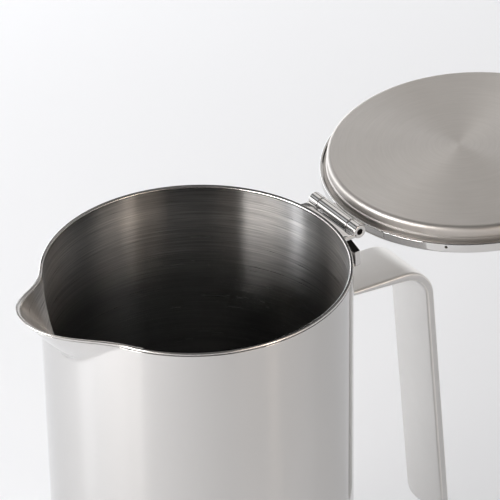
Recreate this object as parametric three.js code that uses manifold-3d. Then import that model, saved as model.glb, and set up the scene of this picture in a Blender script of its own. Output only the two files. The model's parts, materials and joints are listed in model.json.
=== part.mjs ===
// Insulated jug: double-walled steel body with a pouring spout, a strip handle and a hinged lid.
// Millimetres, +Z up. The origin is on the jug's axis at the face it stands on.
// +X points from the spout to the handle. The lid is shown open.

import * as THREE from 'three';
import { mergeVertices } from 'three/addons/utils/BufferGeometryUtils.js';
import Module from 'manifold-3d';

const wasm = await Module();
wasm.setup();

// Body
const BODY_RADIUS = 50;
const RIM_HEIGHT = 165;
const SHEET = 0.5;
const SEAT_GAP = 0.3;
const RIM_BEAD_HEIGHT = 0.8;
const RIM_ROUND = 0.35;
const VACUUM_GAP = 3;
const NECK_MARGIN = 7.5;

// Spout
const SPOUT_REACH = 14;
const SPOUT_RISE = 2.9;
const SPOUT_DEPTH = 14.5;
const SPOUT_HALF_ANGLE = THREE.MathUtils.degToRad(38);
const SPOUT_ROWS = 6;
const LIP_SQUARENESS = 2.35;
const LIP_TAPER = 4.8;
const CREASE_TAPER = 2.8;

// Bottom
const BASE_PLATE = 0.8;
const BASE_FLANGE = 4;
const VACUUM_BASE_PLATE = 0.8;
const EVACUATION_HOLE_RADIUS = 2.5;
const SEAL_HEAD_RADIUS = 4.5;
const SEAL_HEAD_HEIGHT = 1.2;
const GETTER_RADIUS = 6;
const GETTER_HEIGHT = 2;
const GETTER_OFFSET = 24;
const LINER_BOTTOM_PLATE = 0.8;
const GETTER_HEADROOM = 1.5;
const FOIL_THICKNESS = 0.4;

// Handle
const HANDLE_WIDTH = 21;
const HANDLE_THICKNESS = 3;
const HANDLE_ROOT_THICKNESS = 2;
const HANDLE_DROP = 25.8;
const HANDLE_REACH = 37;
const HANDLE_TIP_HEIGHT = 32;
const HANDLE_BEND = 13;
const HANDLE_FOOT_BEND = 5;
const HANDLE_FOOT = 10;
const HANDLE_SLOPE = THREE.MathUtils.degToRad(3);
const HANDLE_LEAN = THREE.MathUtils.degToRad(5);
const HANDLE_CORNER = 4.5;

// Hinge
const HINGE_OFFSET = 4.7;
const HINGE_DROP = 0.7;
const KNUCKLE_RADIUS = 2.35;
const PIN_RADIUS = 1;
const PIN_CLEARANCE = 0.08;
const PIN_RECESS = 1.6;
const END_KNUCKLE = 4.6;
const MIDDLE_KNUCKLE = 16;
const KNUCKLE_GAP = 0.3;
const BRACKET_PLATE = 1.3;
const BRACKET_DROP = 1.1;
const BRACKET_SLIT = 0.7;
const LEAF_PLATE = 1.2;
const LEVER_PLATE = 2;
const LEVER_NECK = 14;
const LEVER_ROOT = 1;
const LEVER_WIDTH = 26.6;
const LEVER_SHOULDER = 4.2;
const LEVER_SLOPE = 2.5;
const LEVER_HEIGHT = 13;
const LEVER_CORNER = 2;

// Lid
const LID_OPEN_ANGLE = THREE.MathUtils.degToRad(176.4);
const LID_OVERHANG = 0.4;
const LID_LIFT = 0.6;
const LID_BAND = 3.5;
const LID_SHEET = 0.8;
const LID_EDGE_ROUND = 0.9;
const PLUG_CLEARANCE = 0.75;
const PLUG_DEPTH = 5;
const PLUG_EDGE_ROUND = 1.5;
const PLUG_STEP = 0.35;
const PLUG_STEP_DEPTH = 1.4;
const PAN_FLANGE_DEPTH = 1.1;
const VENT_RADIUS = 0.5;
const VENT_HEIGHT = 1.2;
const VENT_ANGLE = THREE.MathUtils.degToRad(-43.5);

// Fineness of the round faces
const WALL_SEGMENTS = 72;
const HIDDEN_SEGMENTS = 48;
const SMALL_SEGMENTS = 24;
const VENT_SEGMENTS = 12;
const BEAD_STEPS = 2;
const EDGE_STEPS = 3;
const CORNER_STEPS = 6;
const BEND_STEPS = 9;
const SEAT_STEPS = 12;

// Sizes that follow from the ones above
const SHELL_INNER_RADIUS = BODY_RADIUS - SHEET;
const LINER_TOP_RADIUS = SHELL_INNER_RADIUS - SEAT_GAP;
const LINER_LOW_RADIUS = SHELL_INNER_RADIUS - VACUUM_GAP;
const MOUTH_RADIUS = LINER_TOP_RADIUS - SHEET;
const SHELL_TOP = RIM_HEIGHT - RIM_BEAD_HEIGHT - SEAT_GAP;
const SHELL_FOOT = BASE_PLATE + SEAT_GAP;
const VACUUM_BASE_FOOT = BASE_PLATE + BASE_FLANGE + SEAT_GAP;
const VACUUM_BASE_TOP = VACUUM_BASE_FOOT + VACUUM_BASE_PLATE;
const LINER_FOOT = VACUUM_BASE_TOP + GETTER_HEIGHT + GETTER_HEADROOM + LINER_BOTTOM_PLATE;
const LINER_NECK_FOOT = RIM_HEIGHT - SPOUT_DEPTH - NECK_MARGIN;
const HINGE_X = BODY_RADIUS + HINGE_OFFSET;
const HINGE_Z = RIM_HEIGHT - HINGE_DROP;
const HINGE_LENGTH = MIDDLE_KNUCKLE + 2 * (KNUCKLE_GAP + END_KNUCKLE);
const BORE_RADIUS = PIN_RADIUS + PIN_CLEARANCE;
const BORE_LENGTH = HINGE_LENGTH + END_KNUCKLE;
const VENT_DRILL = 4 * LID_SHEET;
const LID_RADIUS = BODY_RADIUS + LID_OVERHANG;
const LID_BAND_FOOT = RIM_HEIGHT + LID_LIFT;
const LID_TOP = LID_BAND_FOOT + LID_BAND;
const LID_INNER_RADIUS = LID_RADIUS - LID_SHEET;
const PLUG_RADIUS = MOUTH_RADIUS - PLUG_CLEARANCE;
const PLUG_FACE = LID_BAND_FOOT - PLUG_DEPTH;
const PAN_FLANGE_FOOT = LID_BAND_FOOT + PAN_FLANGE_DEPTH;

// Materials
const polishedSteel = new THREE.MeshStandardMaterial({ color: 0xd4d4d6, roughness: 0.08, metalness: 1 });
const brushedSteel = new THREE.MeshStandardMaterial({ color: 0xb4b0ab, roughness: 0.32, metalness: 1 });
const satinSteel = new THREE.MeshStandardMaterial({ color: 0xc6c4c0, roughness: 0.45, metalness: 1 });
const plainSteel = new THREE.MeshStandardMaterial({ color: 0xa9a9ab, roughness: 0.35, metalness: 1 });
const foil = new THREE.MeshStandardMaterial({ color: 0xd9d6d0, roughness: 0.2, metalness: 1 });
const foam = new THREE.MeshStandardMaterial({ color: 0xe8e2d2, roughness: 0.9, metalness: 0 });
const getterAlloy = new THREE.MeshStandardMaterial({ color: 0x5c5d60, roughness: 0.7, metalness: 1 });

function mesh(name, geometry, material) {
  const piece = new THREE.Mesh(geometry, material);
  piece.name = name;
  return piece;
}

// Quarter round from one corner tangent to the next, without its first point
function quarterRound(centreX, centreY, radius, fromAngle, toAngle, steps = EDGE_STEPS) {
  const points = [];
  for (let i = 1; i <= steps; i += 1) {
    const angle = THREE.MathUtils.lerp(fromAngle, toAngle, i / steps);
    points.push([centreX + radius * Math.cos(angle), centreY + radius * Math.sin(angle)]);
  }
  return points;
}

// Solid of revolution about Z from a profile of [radius, height] pairs, listed with the solid on the left
function turned(profile, segments) {
  const points = profile.map(([radius, height]) => new THREE.Vector2(radius, height));
  const geometry = new THREE.LatheGeometry(points, segments);
  return geometry.rotateX(Math.PI / 2);
}

// A tube's profile is closed by its first point
function closed(profile) {
  return [...profile, profile[0]];
}

function toSolid(geometry) {
  const bare = geometry.clone();
  bare.deleteAttribute('normal');
  bare.deleteAttribute('uv');
  const merged = mergeVertices(bare);
  return new wasm.Manifold(new wasm.Mesh({
    numProp: 3,
    vertProperties: new Float32Array(merged.attributes.position.array),
    triVerts: new Uint32Array(merged.index.array),
  }));
}

function toGeometry(solid) {
  const cut = solid.getMesh();
  const geometry = new THREE.BufferGeometry();
  geometry.setAttribute('position', new THREE.BufferAttribute(cut.vertProperties, cut.numProp));
  geometry.setIndex(new THREE.BufferAttribute(cut.triVerts, 1));
  geometry.computeVertexNormals();
  return geometry;
}

function join(...geometries) {
  return toGeometry(geometries.map(toSolid).reduce((a, b) => a.add(b)));
}

function cut(geometry, ...tools) {
  return toGeometry(tools.map(toSolid).reduce((a, b) => a.subtract(b), toSolid(geometry)));
}

function common(first, second) {
  return toGeometry(toSolid(first).intersect(toSolid(second)));
}

// Outline in the XZ plane, as thick as width across Y and centred on it
function acrossY(shape, width, curveSegments = CORNER_STEPS) {
  const geometry = new THREE.ExtrudeGeometry(shape, { depth: width, bevelEnabled: false, curveSegments });
  return geometry.translate(0, 0, -width / 2).rotateX(Math.PI / 2);
}

// Outline in the YZ plane, as thick as depth along X from x
function alongX(shape, x, depth, curveSegments = CORNER_STEPS) {
  const geometry = new THREE.ExtrudeGeometry(shape, { depth, bevelEnabled: false, curveSegments });
  return geometry.rotateX(Math.PI / 2).rotateZ(Math.PI / 2).translate(x, 0, 0);
}

// Outline in the XY plane, as thick as height from z
function alongZ(shape, z, height, curveSegments = CORNER_STEPS) {
  const geometry = new THREE.ExtrudeGeometry(shape, { depth: height, bevelEnabled: false, curveSegments });
  return geometry.translate(0, 0, z);
}

function rod(radius, length, segments = SMALL_SEGMENTS) {
  return new THREE.CylinderGeometry(radius, radius, length, segments);
}

// How far the spout draws a wall point outwards, from 0 on the plain wall to 1 at the tip of the lip
function spoutPull(angleOff, depth) {
  const side = Math.abs(angleOff) / SPOUT_HALF_ANGLE;
  if (side >= 1) return 0;
  const creaseDepth = SPOUT_DEPTH * (1 - side ** 2) ** CREASE_TAPER;
  const climb = 1 - depth / creaseDepth;
  if (climb <= 0) return 0;
  return climb * (1 - side ** LIP_SQUARENESS) ** LIP_TAPER;
}

// Draws the spout out of a turned wall, towards -X
function drawSpout(geometry) {
  const position = geometry.attributes.position;
  const point = new THREE.Vector3();
  for (let i = 0; i < position.count; i += 1) {
    point.fromBufferAttribute(position, i);
    const angleOff = Math.atan2(point.y, -point.x);
    const pull = spoutPull(angleOff, RIM_HEIGHT - point.z);
    const radius = Math.hypot(point.x, point.y);
    const stretch = (radius + SPOUT_REACH * pull) / radius;
    position.setXYZ(i, point.x * stretch, point.y * stretch, point.z + SPOUT_RISE * pull);
  }
  splitShort(geometry);
  geometry.computeVertexNormals();
  return geometry;
}

// Splits each face of a turned wall along its shorter diagonal, so that the two walls bend alike
function splitShort(geometry) {
  const { index } = geometry;
  const corner = (i) => new THREE.Vector3().fromBufferAttribute(geometry.attributes.position, index.getX(i));
  for (let i = 0; i < index.count; i += 6) {
    const [a, b, d, c] = [0, 1, 2, 3].map((k) => index.getX(i + k));
    if (corner(i).distanceTo(corner(i + 3)) < corner(i + 1).distanceTo(corner(i + 2))) {
      [a, b, c, a, c, d].forEach((vertex, k) => index.setX(i + k, vertex));
    }
  }
}

// Heights of the wall's rows through the spout, from its crease up to a top height
function spoutRows(top) {
  const foot = RIM_HEIGHT - SPOUT_DEPTH - SEAT_GAP;
  const rows = [];
  for (let i = 0; i < SPOUT_ROWS; i += 1) rows.push(THREE.MathUtils.lerp(foot, SHELL_TOP, i / SPOUT_ROWS));
  return [...rows, top];
}

// Outer shell
function outerShell() {
  const rows = [SHELL_FOOT, ...spoutRows(SHELL_TOP)];
  const outside = rows.map((z) => [BODY_RADIUS, z]);
  const inside = rows.map((z) => [SHELL_INNER_RADIUS, z]).reverse();
  return drawSpout(turned(closed([...outside, ...inside]), WALL_SEGMENTS));
}

// Inner liner: straight neck through the spout, then a slight taper, with the rim bead on the shell's edge
function innerLiner() {
  const beadFoot = RIM_HEIGHT - RIM_BEAD_HEIGHT;
  const outerRound = quarterRound(
    BODY_RADIUS - RIM_ROUND, RIM_HEIGHT - RIM_ROUND, RIM_ROUND, 0, Math.PI / 2, BEAD_STEPS,
  );
  const innerRound = quarterRound(
    MOUTH_RADIUS + RIM_ROUND, RIM_HEIGHT - RIM_ROUND, RIM_ROUND, Math.PI / 2, Math.PI, BEAD_STEPS,
  );
  const rows = spoutRows(beadFoot);
  const outside = [[LINER_LOW_RADIUS, LINER_FOOT], [LINER_TOP_RADIUS, LINER_NECK_FOOT]];
  outside.push(...rows.map((z) => [LINER_TOP_RADIUS, z]));
  const bead = [[BODY_RADIUS, beadFoot], [BODY_RADIUS, RIM_HEIGHT - RIM_ROUND], ...outerRound];
  bead.push([MOUTH_RADIUS + RIM_ROUND, RIM_HEIGHT], ...innerRound);
  const inside = rows.map((z) => [MOUTH_RADIUS, z]).reverse();
  inside.push([MOUTH_RADIUS, LINER_NECK_FOOT], [LINER_LOW_RADIUS - SHEET, LINER_FOOT]);
  return drawSpout(turned(closed([...outside, ...bead, ...inside]), WALL_SEGMENTS));
}

// Bottom of the liner, under the edge of its tube
function innerBottom() {
  const foot = LINER_FOOT - LINER_BOTTOM_PLATE;
  const profile = [[0, foot], [LINER_LOW_RADIUS, foot], [LINER_LOW_RADIUS, LINER_FOOT], [0, LINER_FOOT]];
  return turned(profile, WALL_SEGMENTS);
}

// Radius of the liner's outside at a height on its taper
function linerRadius(z) {
  const along = (z - LINER_FOOT) / (LINER_NECK_FOOT - LINER_FOOT);
  return THREE.MathUtils.lerp(LINER_LOW_RADIUS, LINER_TOP_RADIUS, along);
}

// Foil wrap on the liner, up to where the space between the walls gets too narrow for it
function reflectorFoil() {
  const share = (SEAT_GAP + FOIL_THICKNESS) / (VACUUM_GAP - SEAT_GAP);
  const top = THREE.MathUtils.lerp(LINER_NECK_FOOT, LINER_FOOT, share);
  const skin = [LINER_FOOT, top].map((z) => [linerRadius(z) + SEAT_GAP, z]);
  const outside = skin.map(([radius, z]) => [radius + FOIL_THICKNESS, z]);
  return turned(closed([...outside, ...skin.reverse()]), WALL_SEGMENTS);
}

// Plate that closes the space between the walls
function vacuumBase() {
  const radius = SHELL_INNER_RADIUS - SEAT_GAP;
  return turned(closed([
    [EVACUATION_HOLE_RADIUS, VACUUM_BASE_FOOT], [radius, VACUUM_BASE_FOOT],
    [radius, VACUUM_BASE_TOP], [EVACUATION_HOLE_RADIUS, VACUUM_BASE_TOP],
  ]), HIDDEN_SEGMENTS);
}

// Plug in the evacuation hole, with its head under the plate
function vacuumSeal() {
  const stem = EVACUATION_HOLE_RADIUS - SEAT_GAP;
  const headFoot = VACUUM_BASE_FOOT - SEAL_HEAD_HEIGHT;
  return turned([
    [0, headFoot], [SEAL_HEAD_RADIUS, headFoot], [SEAL_HEAD_RADIUS, VACUUM_BASE_FOOT],
    [stem, VACUUM_BASE_FOOT], [stem, VACUUM_BASE_TOP], [0, VACUUM_BASE_TOP],
  ], SMALL_SEGMENTS);
}

// Getter pill, on the vacuum base
function getterPill() {
  const top = VACUUM_BASE_TOP + GETTER_HEIGHT;
  const profile = [[0, VACUUM_BASE_TOP], [GETTER_RADIUS, VACUUM_BASE_TOP], [GETTER_RADIUS, top], [0, top]];
  return turned(profile, SMALL_SEGMENTS);
}

// Cup that the jug stands on: a disc under the shell's edge, with a flange inside the shell
function baseCover() {
  const flange = SHELL_INNER_RADIUS - SEAT_GAP;
  const flangeTop = BASE_PLATE + BASE_FLANGE;
  return turned([
    [0, 0], [BODY_RADIUS - BASE_PLATE, 0], [BODY_RADIUS, BASE_PLATE], [flange, BASE_PLATE],
    [flange, flangeTop], [flange - SHEET, flangeTop], [flange - SHEET, BASE_PLATE], [0, BASE_PLATE],
  ], WALL_SEGMENTS);
}

// Handle: a strip turned up against the shell, run out nearly level, bent down and left open at its end
function handleStrip() {
  const wall = BODY_RADIUS + SEAT_GAP;
  const bendX = BODY_RADIUS + HANDLE_REACH - HANDLE_BEND;
  const bendZ = RIM_HEIGHT - HANDLE_DROP - HANDLE_BEND;
  const innerBend = HANDLE_BEND - HANDLE_THICKNESS;
  const armAngle = Math.PI / 2 - HANDLE_SLOPE;
  const onBend = (radius, angle) => new THREE.Vector2(
    bendX + radius * Math.cos(angle), bendZ + radius * Math.sin(angle),
  );
  const alongLeg = (radius) => {
    const start = onBend(radius, HANDLE_LEAN);
    const drop = start.y - HANDLE_TIP_HEIGHT;
    return new THREE.Vector2(start.x + drop * Math.tan(HANDLE_LEAN), HANDLE_TIP_HEIGHT);
  };
  const outerTip = alongLeg(HANDLE_BEND);
  const innerTip = alongLeg(innerBend);
  const armStart = onBend(HANDLE_BEND, armAngle);
  const underStart = onBend(innerBend, armAngle);
  const footX = wall + HANDLE_FOOT_BEND;
  const armTop = armStart.y + (armStart.x - footX) * Math.tan(HANDLE_SLOPE);
  const footZ = armTop - HANDLE_ROOT_THICKNESS + HANDLE_FOOT_BEND;
  const footTop = armTop + HANDLE_FOOT;
  const side = new THREE.Shape();
  side.moveTo(wall, footTop);
  side.lineTo(wall, footZ);
  side.absarc(footX, footZ, HANDLE_FOOT_BEND, Math.PI, 1.5 * Math.PI, false);
  side.lineTo(underStart.x, underStart.y);
  side.absarc(bendX, bendZ, innerBend, armAngle, HANDLE_LEAN, true);
  side.lineTo(innerTip.x, innerTip.y);
  side.lineTo(outerTip.x, outerTip.y);
  side.absarc(bendX, bendZ, HANDLE_BEND, HANDLE_LEAN, armAngle, false);
  side.lineTo(footX, armTop);
  side.absarc(footX, footZ, HANDLE_FOOT_BEND - HANDLE_ROOT_THICKNESS, 1.5 * Math.PI, Math.PI, true);
  side.lineTo(wall + HANDLE_ROOT_THICKNESS, footTop);
  const strip = acrossY(side, HANDLE_WIDTH, BEND_STEPS);
  const front = roundedTab(HANDLE_WIDTH, footTop + HANDLE_THICKNESS, HANDLE_TIP_HEIGHT, HANDLE_CORNER);
  const span = outerTip.x - wall + 2 * HANDLE_THICKNESS;
  return common(strip, alongX(front, wall - HANDLE_THICKNESS, span));
}

// Strip outline of a width, straight at its root and with round corners at its tip
function roundedTab(width, root, tip, corner) {
  const half = width / 2;
  const turn = Math.sign(root - tip);
  const shape = new THREE.Shape();
  shape.moveTo(-half, root);
  shape.lineTo(-half, tip + turn * corner);
  shape.quadraticCurveTo(-half, tip, -half + corner, tip);
  shape.lineTo(half - corner, tip);
  shape.quadraticCurveTo(half, tip, half, tip + turn * corner);
  shape.lineTo(half, root);
  return shape;
}

// Hinge bracket: a plate under the rim, rolled into an eye at each end
function hingeBracket() {
  const plateTop = RIM_HEIGHT - BRACKET_DROP;
  const wall = BODY_RADIUS + SEAT_GAP;
  const half = HINGE_LENGTH / 2;
  const slitX = HINGE_X - KNUCKLE_RADIUS - BRACKET_SLIT;
  const slitHalf = MIDDLE_KNUCKLE / 2 + KNUCKLE_GAP;
  const edgeAngle = Math.asin(half / wall);
  const plan = new THREE.Shape();
  plan.absarc(0, 0, wall, -edgeAngle, edgeAngle, false);
  plan.lineTo(HINGE_X, half);
  plan.lineTo(HINGE_X, slitHalf);
  plan.lineTo(slitX, slitHalf);
  plan.lineTo(slitX, -slitHalf);
  plan.lineTo(HINGE_X, -slitHalf);
  plan.lineTo(HINGE_X, -half);
  const plate = alongZ(plan, plateTop - BRACKET_PLATE, BRACKET_PLATE, SEAT_STEPS);
  const eyes = [-1, 1].map((side) => {
    const middle = side * (half - END_KNUCKLE / 2);
    return rod(KNUCKLE_RADIUS, END_KNUCKLE).translate(HINGE_X, middle, HINGE_Z);
  });
  const bore = rod(BORE_RADIUS, BORE_LENGTH).translate(HINGE_X, 0, HINGE_Z);
  return cut(join(plate, ...eyes), bore);
}

// Hinge pin, set back from the outer faces of the knuckles
function hingePin() {
  return rod(PIN_RADIUS, HINGE_LENGTH - 2 * PIN_RECESS).translate(HINGE_X, 0, HINGE_Z);
}

// Middle knuckle with the plate that reaches the lid's band, as it lies with the lid shut
function lidLeaf() {
  const top = HINGE_Z + KNUCKLE_RADIUS;
  const barrel = rod(KNUCKLE_RADIUS, MIDDLE_KNUCKLE).translate(HINGE_X, 0, HINGE_Z);
  const reach = HINGE_OFFSET + LID_OVERHANG;
  const plate = new THREE.BoxGeometry(reach, MIDDLE_KNUCKLE, LEAF_PLATE);
  plate.translate(HINGE_X - reach / 2, 0, top - LEAF_PLATE / 2);
  const bore = rod(BORE_RADIUS, BORE_LENGTH).translate(HINGE_X, 0, HINGE_Z);
  const lidSpace = rod(LID_RADIUS + SEAT_GAP, LID_TOP - RIM_HEIGHT, WALL_SEGMENTS);
  lidSpace.rotateX(Math.PI / 2).translate(0, 0, RIM_HEIGHT + (LID_TOP - RIM_HEIGHT) / 2);
  return cut(join(barrel, plate), bore, lidSpace);
}

// Thumb lever, standing on the rear of the middle knuckle with the lid shut
function thumbLever() {
  const neck = LEVER_NECK / 2;
  const half = LEVER_WIDTH / 2;
  const shoulder = HINGE_Z + LEVER_SHOULDER;
  const top = HINGE_Z + LEVER_HEIGHT;
  const front = new THREE.Shape();
  front.moveTo(-neck, HINGE_Z + LEVER_ROOT);
  front.lineTo(neck, HINGE_Z + LEVER_ROOT);
  front.lineTo(neck, shoulder);
  front.lineTo(half, shoulder + LEVER_SLOPE);
  front.lineTo(half, top - LEVER_CORNER);
  front.quadraticCurveTo(half, top, half - LEVER_CORNER, top);
  front.lineTo(LEVER_CORNER - half, top);
  front.quadraticCurveTo(-half, top, -half, top - LEVER_CORNER);
  front.lineTo(-half, shoulder + LEVER_SLOPE);
  front.lineTo(-neck, shoulder);
  const rear = HINGE_X + KNUCKLE_RADIUS + SEAT_GAP;
  const plate = alongX(front, rear - LEVER_PLATE, LEVER_PLATE);
  const knuckle = rod(KNUCKLE_RADIUS + SEAT_GAP, HINGE_LENGTH, WALL_SEGMENTS).translate(HINGE_X, 0, HINGE_Z);
  return cut(plate, knuckle);
}

// Lid cover: flat top with a round edge and the band, open below, with a vent hole through the band
function lidCover() {
  const round = quarterRound(
    LID_RADIUS - LID_EDGE_ROUND, LID_TOP - LID_EDGE_ROUND, LID_EDGE_ROUND, 0, Math.PI / 2,
  );
  const dish = turned([
    [0, LID_TOP - LID_SHEET], [LID_INNER_RADIUS, LID_TOP - LID_SHEET], [LID_INNER_RADIUS, LID_BAND_FOOT],
    [LID_RADIUS, LID_BAND_FOOT], [LID_RADIUS, LID_TOP - LID_EDGE_ROUND], ...round, [0, LID_TOP],
  ], WALL_SEGMENTS);
  const vent = rod(VENT_RADIUS, VENT_DRILL, VENT_SEGMENTS).rotateZ(Math.PI / 2);
  vent.translate(LID_RADIUS - LID_SHEET / 2, 0, LID_BAND_FOOT + VENT_HEIGHT).rotateZ(VENT_ANGLE);
  return cut(dish, vent);
}

// Lid pan: the plug that enters the mouth, stepped once, with a flange inside the band
function lidPan() {
  const step = PLUG_RADIUS + PLUG_STEP;
  const stepFoot = PLUG_FACE + PLUG_DEPTH - PLUG_STEP_DEPTH;
  const flange = LID_INNER_RADIUS - SEAT_GAP;
  const flangeTop = PAN_FLANGE_FOOT + LID_SHEET;
  const faceRadius = PLUG_RADIUS - PLUG_EDGE_ROUND;
  const edge = quarterRound(faceRadius, PLUG_FACE + PLUG_EDGE_ROUND, PLUG_EDGE_ROUND, -Math.PI / 2, 0);
  return turned([
    [0, PLUG_FACE], [faceRadius, PLUG_FACE], ...edge, [PLUG_RADIUS, stepFoot],
    [step, stepFoot + PLUG_STEP], [step, PAN_FLANGE_FOOT], [flange, PAN_FLANGE_FOOT], [flange, flangeTop],
    [PLUG_RADIUS - LID_SHEET, flangeTop], [PLUG_RADIUS - LID_SHEET, PLUG_FACE + PLUG_EDGE_ROUND],
    [faceRadius, PLUG_FACE + LID_SHEET], [0, PLUG_FACE + LID_SHEET],
  ], WALL_SEGMENTS);
}

// Foam disc between the lid's pan and its cover
function lidInsulation() {
  const foot = PLUG_FACE + LID_SHEET + SEAT_GAP;
  const top = LID_TOP - LID_SHEET - SEAT_GAP;
  const radius = PLUG_RADIUS - LID_SHEET - SEAT_GAP;
  const low = radius - PLUG_EDGE_ROUND;
  return turned([
    [0, foot], [low, foot], [radius, foot + PLUG_EDGE_ROUND], [radius, top], [0, top],
  ], HIDDEN_SEGMENTS);
}

// Jug
const jug = new THREE.Group();
const getter = mesh('getter', getterPill(), getterAlloy);
getter.position.x = GETTER_OFFSET;
jug.add(
  mesh('outer_shell', outerShell(), polishedSteel),
  mesh('inner_liner', innerLiner(), brushedSteel),
  mesh('inner_bottom', innerBottom(), brushedSteel),
  mesh('reflector_foil', reflectorFoil(), foil),
  mesh('vacuum_base', vacuumBase(), plainSteel),
  mesh('vacuum_seal', vacuumSeal(), plainSteel),
  getter,
  mesh('base_cover', baseCover(), polishedSteel),
  mesh('handle', handleStrip(), satinSteel),
  mesh('hinge_bracket', hingeBracket(), polishedSteel),
  mesh('hinge_pin', hingePin(), plainSteel),
);

// Lid, made shut and turned open about the hinge
const lid = new THREE.Group();
lid.add(
  mesh('lid_cover', lidCover(), polishedSteel),
  mesh('lid_pan', lidPan(), brushedSteel),
  mesh('lid_insulation', lidInsulation(), foam),
  mesh('lid_leaf', lidLeaf(), polishedSteel),
  mesh('thumb_lever', thumbLever(), satinSteel),
);
lid.children.forEach((piece) => piece.position.set(-HINGE_X, 0, -HINGE_Z));
lid.position.set(HINGE_X, 0, HINGE_Z);
lid.rotation.y = LID_OPEN_ANGLE;
jug.add(lid);

export default jug;
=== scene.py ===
import json
import math

import bmesh
import bpy
from mathutils import Matrix, Vector


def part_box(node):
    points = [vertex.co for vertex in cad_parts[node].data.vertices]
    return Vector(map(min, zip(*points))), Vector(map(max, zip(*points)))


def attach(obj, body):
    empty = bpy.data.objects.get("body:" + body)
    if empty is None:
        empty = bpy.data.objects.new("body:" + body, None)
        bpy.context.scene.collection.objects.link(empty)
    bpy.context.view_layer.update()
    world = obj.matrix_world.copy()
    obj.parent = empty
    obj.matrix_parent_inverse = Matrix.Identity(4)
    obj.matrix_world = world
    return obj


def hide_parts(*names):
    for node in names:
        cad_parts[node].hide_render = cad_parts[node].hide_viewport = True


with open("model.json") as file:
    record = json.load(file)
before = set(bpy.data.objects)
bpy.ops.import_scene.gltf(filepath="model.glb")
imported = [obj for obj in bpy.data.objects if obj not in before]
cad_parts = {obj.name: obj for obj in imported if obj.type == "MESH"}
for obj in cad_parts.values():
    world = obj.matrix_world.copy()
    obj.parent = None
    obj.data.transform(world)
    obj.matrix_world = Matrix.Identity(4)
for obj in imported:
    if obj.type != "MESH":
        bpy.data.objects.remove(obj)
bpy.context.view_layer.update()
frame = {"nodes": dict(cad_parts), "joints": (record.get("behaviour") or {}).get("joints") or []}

# Insulated jug with a pouring spout, a strip handle and a hinged lid, dressed round its CAD frame.
# Metres, +Z up. The jug's axis is the Z axis, the spout points to -X and the lid lies open towards +X.

MM = 0.001

# Sizes read from the frame
lid_joint = frame["joints"][0]
HINGE = Vector(lid_joint["pos_m"])
OPEN_ANGLE = math.radians(lid_joint["range_deg"][1])
BODY_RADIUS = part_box("base_cover")[1].x
BASE_PLATE = 0.8 * MM
SHELL_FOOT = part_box("outer_shell")[0].z
LINER_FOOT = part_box("inner_liner")[0].z
LINER_LOW_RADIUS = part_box("inner_bottom")[1].x
BOTTOM_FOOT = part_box("inner_bottom")[0].z
HANDLE_TIP_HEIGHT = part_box("handle")[0].z
HANDLE_WIDTH = 2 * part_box("handle")[1].y
LEVER_WIDTH = 2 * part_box("thumb_lever")[1].y
HINGE_LENGTH = 2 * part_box("hinge_bracket")[1].y
MIDDLE_KNUCKLE = 2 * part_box("lid_leaf")[1].y
PIN_LENGTH = 2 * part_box("hinge_pin")[1].y
LID_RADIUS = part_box("lid_cover")[1].y

# Body
SHEET = 0.5 * MM
SEAT_GAP = 0.3 * MM
RIM_HEIGHT = HINGE.z + 0.7 * MM
RIM_BEAD_HEIGHT = 0.8 * MM
RIM_ROUND = 0.62 * MM
SHEET_ROUND = 0.12 * MM
BASE_ROUND = 0.3 * MM
BASE_FLANGE = 4 * MM
DISH_DEPTH = 0.4 * MM
DISH_ROUND = 2 * MM
DISH_EDGE_SHARE = 0.94
DISH_FLAT_SHARE = 0.8
NECK_FOOT = RIM_HEIGHT - 22 * MM
SHELL_INNER_RADIUS = BODY_RADIUS - SHEET
LINER_TOP_RADIUS = SHELL_INNER_RADIUS - SEAT_GAP
MOUTH_RADIUS = LINER_TOP_RADIUS - SHEET
SHELL_TOP = RIM_HEIGHT - RIM_BEAD_HEIGHT - SEAT_GAP

# Spout
SPOUT_REACH = 14 * MM
SPOUT_RISE = 2.9 * MM
SPOUT_DEPTH = 14.5 * MM
SPOUT_HALF_ANGLE = math.radians(38)
SPOUT_EDGE = math.radians(42)
SPOUT_FOOT = RIM_HEIGHT - SPOUT_DEPTH * 1.1
LIP_SQUARENESS = 2.35
LIP_TAPER = 4.8
CREASE_TAPER = 2.8
CREASE_SOFTNESS = 0.05

# Handle
HANDLE_THICKNESS = 3 * MM
HANDLE_ROOT_THICKNESS = 2 * MM
HANDLE_DROP = 25.8 * MM
HANDLE_REACH = 37 * MM
HANDLE_BEND = 13 * MM
HANDLE_FOOT_BEND = 5 * MM
HANDLE_FOOT = 10 * MM
HANDLE_SLOPE = math.radians(3)
HANDLE_LEAN = math.radians(5)
HANDLE_CORNER = 4.5 * MM
HANDLE_EDGE = 0.9 * MM
# Strip faces whose normal lies this close to the side take the darker satin, painted shade
SHADED_EDGE_FACING = 0.95

# Hinge
KNUCKLE_RADIUS = 2.35 * MM
KNUCKLE_EDGE = 0.3 * MM
KNUCKLE_GAP = 0.3 * MM
PIN_RADIUS = 1 * MM
BORE_RADIUS = 1.08 * MM
BRACKET_TOP = RIM_HEIGHT - 1.1 * MM
BRACKET_PLATE = 1.3 * MM
BRACKET_SLIT = 0.7 * MM
BRACKET_GRIP = 1.5 * MM
PLATE_EDGE = 0.18 * MM
LEAF_PLATE = 1.2 * MM
LEVER_PLATE = 2 * MM
LEVER_NECK = 14 * MM
LEVER_ROOT = 1 * MM
LEVER_SHOULDER = 4.2 * MM
LEVER_SLOPE = 2.5 * MM
LEVER_HEIGHT = 13 * MM
LEVER_CORNER = 2 * MM
LEVER_EDGE = 0.35 * MM
# Lever faces that point further down than this take the near-black finish, painted shade
SHADED_UNDERSIDE_FACING = -0.6

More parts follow.
